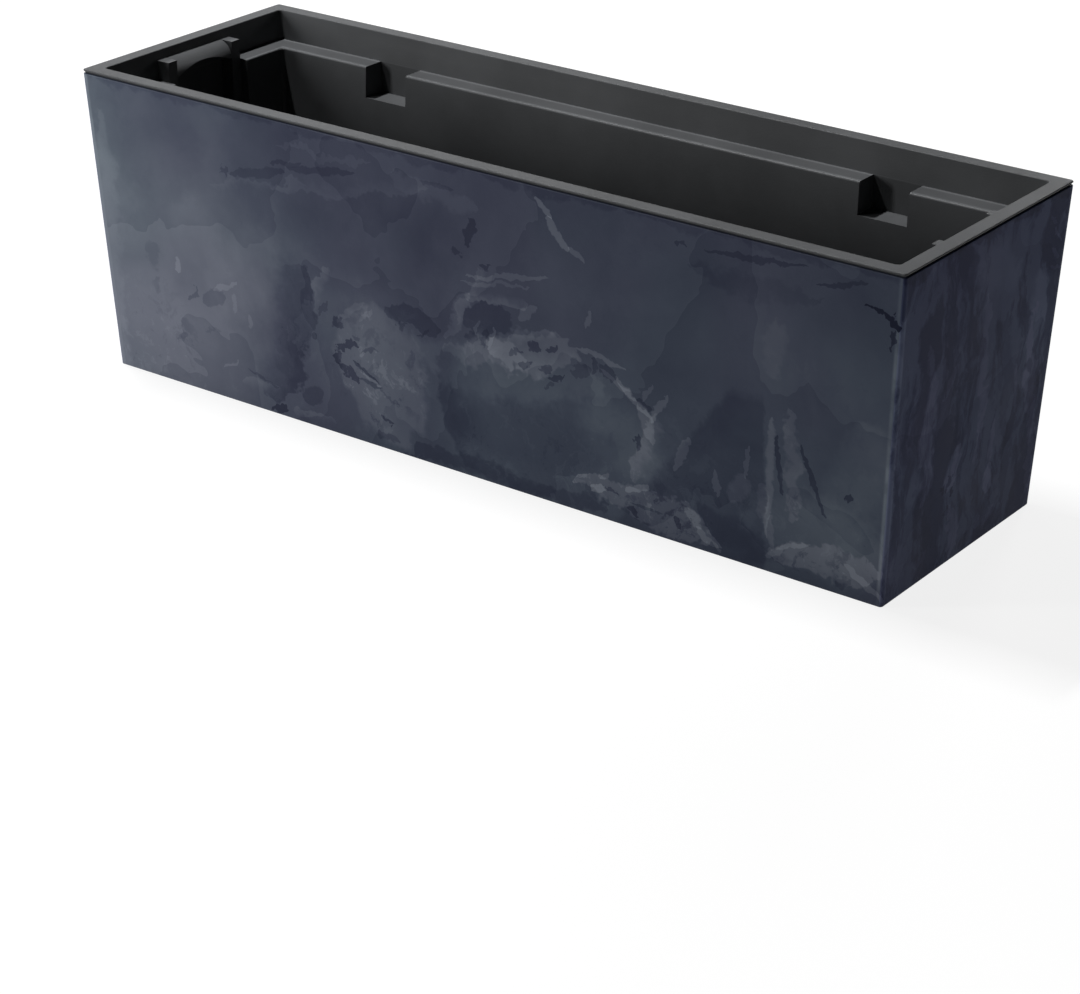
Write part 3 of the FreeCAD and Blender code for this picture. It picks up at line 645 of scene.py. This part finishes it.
clouds = noise(marbled, flow, 8, 4, 0.55)
veils = noise(marbled, stretched(marbled, flow, 1, 1, 0.6), 22, 5, 0.6)
bands = marbled.math("FRACT", noise(marbled, flow, 5, 5, 0.5) * 7)
tone = 0.54 + step(marbled, clouds, 0.3, 0.7, -0.06, 0.06) + (veils - 0.5) * 0.16
tone = tone + (bands - 0.5) * 0.08
patches = smears(marbled, 0, wide, PATCHES)
broken_up = step(marbled, marbled.math("ABSOLUTE", patches), 0.03, 0.14, 0.7, 2.2)
strokes = smears(marbled, 0, fine, LONG_STROKES)
drawn = smears(marbled, patches + strokes, wide, CLOUDS)
drawn = smears(marbled, drawn, rough, CELLS) + wiped_wedge(marbled, fine) * -0.12
drawn = drawn + dabs(marbled, walls) * broken_up + streaks(marbled) + edges(marbled)
tone = tone + drawn * upright(marbled)
print("marbled pattern:", len(marbled.tree.nodes), "nodes")

# %% [markdown]
# The tone picks a colour from a ramp whose steps are near equal ratios, because the eye judges
# dark colours by ratio. Teal and violet tints drift over it on a scale of their own, but the light
# patches and strokes are violet. The short walls are tinted darker and bluer: painted shade.

# %% Colour the marbled finish
SHADES = [
    (0.0, (0.0130, 0.0155, 0.0330, 1)),
    (0.4, (0.0460, 0.0520, 0.0850, 1)),
    (0.6, (0.0850, 0.0960, 0.1370, 1)),
    (0.8, (0.1450, 0.1610, 0.2050, 1)),
    (1.0, (0.2400, 0.2600, 0.3100, 1)),
]
shade = marbled.node("ValToRGB", {"stops": SHADES}, {0: tone}, "Color")
tint = step(marbled, noise(marbled, flow, 6, 3, 0.5), 0.35, 0.65)
tint = tint * step(marbled, patches + strokes, 0.02, 0.12, 1, 0.45)
drift = mixed(marbled, (1.0, 0.99, 1.02, 1), (0.93, 1.01, 0.99, 1), tint)
# Painted shade: the short walls are made darker and bluer.
end_shade_tint = mixed(marbled, (1, 1, 1, 1), (0.86, 0.86, 1.13, 1), end_wall(marbled))
tinted = marbled.vector("MULTIPLY", marbled.vector("MULTIPLY", shade, drift), end_shade_tint)
grain = noise(marbled, marbled.place, 900, 2, 0.6)
marbled.set(
    Base_Color=tinted,
    Roughness=0.58 + (veils - 0.5) * 0.2 + (grain - 0.5) * 0.1,
    Specular_IOR_Level=0.06,
    Normal=marbled.node("Bump", None, {"Strength": 0.25, "Distance": 0.0004, "Height": grain}),
)
print("marbled finish:", len(marbled.tree.nodes), "nodes")

# %% [markdown]
# ## The plain plastics
#
# The liner and the plug are one colour each. What keeps a plain moulded part from looking like
# a flat colour is small: a fine spark-eroded grain in the surface, slightly uneven gloss, and
# faint clouds where the plastic cooled at another rate. The liner's ledge also gets painted
# highlights, a little lighter along its two edges and a little darker between them.

# %% Make the plain finishes
def ledge_highlights(finish):
    """Painted highlights: lighter along the ledge's two edges, a little darker between them."""
    x, y, z = finish.parts(finish.place)
    from_side = HALF_WIDTH - finish.math("ABSOLUTE", y)
    from_end = HALF_LENGTH - finish.math("ABSOLUTE", x)
    inwards = finish.math("MINIMUM", from_side, from_end)
    outer = step(finish, finish.math("ABSOLUTE", inwards - LEDGE_OUTER), 1.6 * MM, 0.6 * MM)
    inner = step(finish, finish.math("ABSOLUTE", inwards - LEDGE_INNER), 1.8 * MM, 0.8 * MM)
    level = step(finish, finish.math("ABSOLUTE", z - LEDGE_TOP), 0.6 * MM, 0.2 * MM)
    return 1 + level * (finish.math("MAXIMUM", outer, inner) * 0.5 - 0.05)


def plain_plastic(name, colour, gloss_roughness, grain_scale, painted_highlight=None):
    finish = Finish(name)
    haze = noise(finish, pushed(finish, finish.place, 9, 0.05), 14, 4, 0.55)
    grain = noise(finish, finish.place, grain_scale, 2, 0.6)
    low = tuple(0.88 * c for c in colour) + (1,)
    high = tuple(1.12 * c for c in colour) + (1,)
    shade = mixed(finish, low, high, step(finish, haze, 0.3, 0.7))
    # The painted highlight of the ledge's edges multiplies the colour.
    if painted_highlight:
        highlighted = painted_highlight(finish)
        highlighted = finish.node("CombineXYZ", None, {0: highlighted, 1: highlighted, 2: highlighted})
        shade = finish.vector("MULTIPLY", shade, highlighted)
    finish.set(
        Base_Color=shade,
        Roughness=gloss_roughness + (haze - 0.5) * 0.12 + (grain - 0.5) * 0.08,
        Specular_IOR_Level=0.16,
        Normal=finish.node("Bump", None, {"Strength": 0.2, "Distance": 0.0003, "Height": grain}),
    )
    print(name, "finish:", len(finish.tree.nodes), "nodes")
    return finish


liner_plastic = plain_plastic("liner_plastic", (0.084, 0.087, 0.091), 0.48, 1100, ledge_highlights)
plug_plastic = plain_plastic("plug_plastic", (0.030, 0.032, 0.036), 0.42, 1400)

# %% Dress the nodes
DRESS = [
    ("outer_case", marbled, "marbled_case"),
    ("liner", liner_plastic, "liner_plastic"),
    ("overflow_plug", plug_plastic, "plug_plastic"),
]
for node, finish, slot in DRESS:
    data = nodes[node].data
    data.materials.clear()
    data.materials.append(finish.material)
print("nodes dressed:", len(DRESS))

# %% [markdown]
# ## Floor and light
#
# The planter stands on a white sweep. The camera sees the floor as white, with the soft shadow
# kept, while the object gets only a weak fill from below. A low softbox stands at the front left,
# so the front wall keeps it out of the trough. A stronger one hangs overhead, to the left, and
# leaves the left inner wall dark. Two weak ones stand behind: one nearly opposite the camera
# gives the rim its sheen, and one lights the views from there.

# %% Lay the floor
FLOOR_REACH = 12
FLOOR_NEAR, FLOOR_FAR = 0.35, 1.6  # between these distances the floor fades to pure white
LIFT = 0.85  # how bright the camera sees the floor by itself, close to the planter
FILL = 0.2  # how bright the planter sees the floor

floor_mesh = bpy.data.meshes.new("floor")
floor_shape = bmesh.new()
bmesh.ops.create_grid(floor_shape, x_segments=1, y_segments=1, size=FLOOR_REACH)
floor_shape.to_mesh(floor_mesh)
floor_shape.free()
floor = bpy.data.objects.new("floor", floor_mesh)
bpy.context.scene.collection.objects.link(floor)

floor_paint = Finish("floor_paint")
floor_paint.set(Base_Color=(0.16, 0.16, 0.16, 1), Roughness=0.9)
seen = floor_paint.node("LightPath", output="Is Camera Ray")
for ray in ("Is Glossy Ray", "Is Transmission Ray"):
    seen = floor_paint.math("MAXIMUM", seen, floor_paint.node("LightPath", output=ray))
away = floor_paint.vector("LENGTH", floor_paint.place, output="Value")
lift = step(floor_paint, away, FLOOR_NEAR, FLOOR_FAR, LIFT, 1)
glow = step(floor_paint, seen, 0, 1, FILL, lift)
glow = floor_paint.node("Emission", None, {"Color": (1, 1, 1, 1), "Strength": glow})
painted = Term(floor_paint, floor_paint.shader.outputs[0])
lit = floor_paint.node("AddShader", None, {0: painted, 1: glow})
below = floor_paint.node("NewGeometry", output="Backfacing")
clear = floor_paint.node("BsdfTransparent")
shown = floor_paint.node("MixShader", None, {0: below, 1: lit, 2: clear})
floor_paint.fill(floor_paint.output.inputs["Surface"], shown)
floor_mesh.materials.append(floor_paint.material)
print("floor laid")


# %% Set up the lights
def softbox(name, azimuth, elevation, distance, width, height, level):
    """A softbox aimed at the planter. At level 1 a matt surface that faces it, at the
    planter's middle, shows its own colour."""
    a, e = math.radians(azimuth), math.radians(elevation)
    towards = Vector((math.sin(a) * math.cos(e), -math.cos(a) * math.cos(e), math.sin(e)))
    data = bpy.data.lights.new(name, "AREA")
    data.shape = "RECTANGLE"
    data.size = width
    data.size_y = height
    data.energy = level * (math.pi * distance) ** 2
    lamp = bpy.data.objects.new(name, data)
    lamp.location = Vector((0, 0, RIM_TOP / 2)) + distance * towards
    lamp.rotation_mode = "QUATERNION"
    lamp.rotation_quaternion = towards.to_track_quat("Z", "Y")
    bpy.context.scene.collection.objects.link(lamp)


LIGHTS = [
    # name, azimuth, elevation, distance, width, height, level
    ("key_light", -38, 16, 1.2, 0.16, 0.4, 0.40),
    ("top_light", -90, 68, 1.9, 0.4, 0.07, 1.0),
    ("sheen_light", -132, 28, 1.6, 0.8, 0.4, 0.11),
    ("back_light", -175, 18, 1.6, 0.3, 0.4, 0.2),
]
for row in LIGHTS:
    softbox(*row)
print(len(LIGHTS), "lights up")

# %% [markdown]
# The world is white where the camera sees it, and next to black as a light, so that the
# softboxes alone model the shape.

# %% Set up the world
AMBIENT = 0.001

world = bpy.data.worlds.new("studio")
world.use_nodes = True
studio = Nodes(world.node_tree)
background = world.node_tree.nodes["Background"]
seen = studio.node("LightPath", output="Is Camera Ray")
studio.fill(background.inputs["Strength"], studio.math("MAXIMUM", seen, AMBIENT))
background.inputs["Color"].default_value = (1, 1, 1, 1)
bpy.context.scene.world = world
print("world ready")
